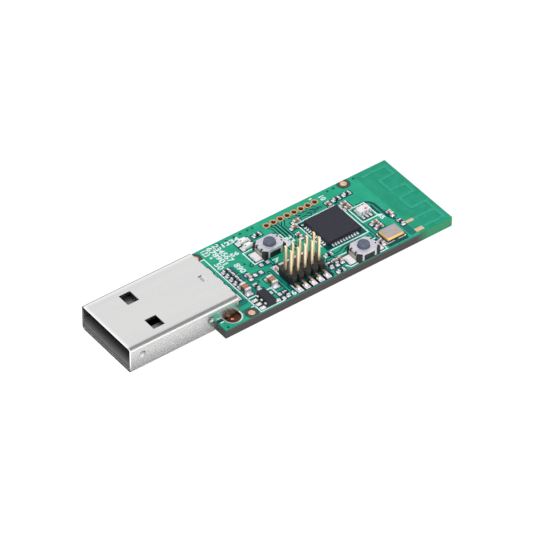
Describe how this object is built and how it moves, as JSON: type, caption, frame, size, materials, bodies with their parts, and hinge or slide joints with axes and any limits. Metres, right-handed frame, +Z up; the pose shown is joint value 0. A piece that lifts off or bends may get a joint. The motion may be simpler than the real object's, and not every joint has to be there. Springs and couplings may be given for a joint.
{
  "type": "usb radio stick",
  "caption": "Bare-board radio stick: a folded metal plug shell on a green circuit board with a radio chip, pin header, push buttons, lamps and a printed folded antenna.",
  "frame": {"origin": "under the middle of the stick's length and width, on the flat underside it rests on", "axes": "+X along the stick from the plug's mouth to the antenna end, +Y to the edge with the row of plated holes, +Z up out of the board's component side"},
  "size_m": [0.0566, 0.0162, 0.0076],
  "materials": {
    "plug_steel": "plated sheet steel, satin",
    "plug_plastic": "moulded, dark grey",
    "contact_gold": "gold-plated spring strip",
    "solder_mask": "green mask on glass laminate",
    "pad_plating": "gold-plated copper",
    "masked_copper": "copper track under green mask",
    "chip_plastic": "moulded, charcoal",
    "tin": "tinned, satin",
    "dark_ceramic": "fired ceramic, dark",
    "brown_ceramic": "fired ceramic, brown-black",
    "seal_gold": "gold-plated ring",
    "lid_nickel": "flat plated lid",
    "header_plastic": "moulded, black",
    "pin_gold": "gold-plated square wire",
    "button_plastic": "moulded, black",
    "cover_steel": "stamped sheet, satin",
    "dome_steel": "thin spring sheet",
    "plunger_plastic": "moulded, blue-grey",
    "lamp_base": "white laminate",
    "lamp_lens": "clear milky resin",
    "capacitor_ceramic": "fired ceramic, tan brown",
    "resistor_coat": "black glaze"
  },
  "bodies": {
    "stick": {"antenna_pads": "pad_plating", "antenna_track": "masked_copper", "balun_body": "dark_ceramic", "balun_terminals": "tin", "button_1_cover": "cover_steel", "button_1_dome": "dome_steel", "button_1_housing": "button_plastic", "button_1_terminals": "tin", "button_2_cover": "cover_steel", "button_2_dome": "dome_steel", "button_2_housing": "button_plastic", "button_2_terminals": "tin", "circuit_board": "solder_mask", "crystal_base": "brown_ceramic", "crystal_lid": "lid_nickel", "crystal_seal_ring": "seal_gold", "header_insulator": "header_plastic", "header_pin_1": "pin_gold", "header_pin_10": "pin_gold", "header_pin_2": "pin_gold", "header_pin_3": "pin_gold", "header_pin_4": "pin_gold", "header_pin_5": "pin_gold", "header_pin_6": "pin_gold", "header_pin_7": "pin_gold", "header_pin_8": "pin_gold", "header_pin_9": "pin_gold", "io_hole_plating": "pad_plating", "lamp_1_base": "lamp_base", "lamp_1_lens": "lamp_lens", "lamp_1_terminals": "tin", "lamp_2_base": "lamp_base", "lamp_2_lens": "lamp_lens", "lamp_2_terminals": "tin", "large_capacitor_1_body": "capacitor_ceramic", "large_capacitor_1_ends": "tin", "large_capacitor_2_body": "capacitor_ceramic", "large_capacitor_2_ends": "tin", "plug_contact_1": "contact_gold", "plug_contact_2": "contact_gold", "plug_contact_3": "contact_gold", "plug_contact_4": "contact_gold", "plug_insulator": "plug_plastic", "plug_shell": "plug_steel", "radio_chip_lands": "tin", "radio_chip_package": "chip_plastic", "regulator_body": "chip_plastic", "regulator_leads": "tin", "resistor_bodies": "resistor_coat", "resistor_ends": "tin", "shield_hole_plating": "pad_plating", "small_capacitor_bodies": "capacitor_ceramic", "small_capacitor_ends": "tin"},
    "button_1": {"button_1_plunger": "plunger_plastic"},
    "button_2": {"button_2_plunger": "plunger_plastic"}
  },
  "joints": [
    {"name": "button_1_press", "type": "slide", "parent": "stick", "child": "button_1", "axis": [0, 0, -1], "range_m": [0, 0.0002], "stiffness_N_per_m": 6000, "deforming": ["button_1_dome"]},
    {"name": "button_2_press", "type": "slide", "parent": "stick", "child": "button_2", "axis": [0, 0, -1], "range_m": [0, 0.0002], "stiffness_N_per_m": 6000, "deforming": ["button_2_dome"]}
  ]
}
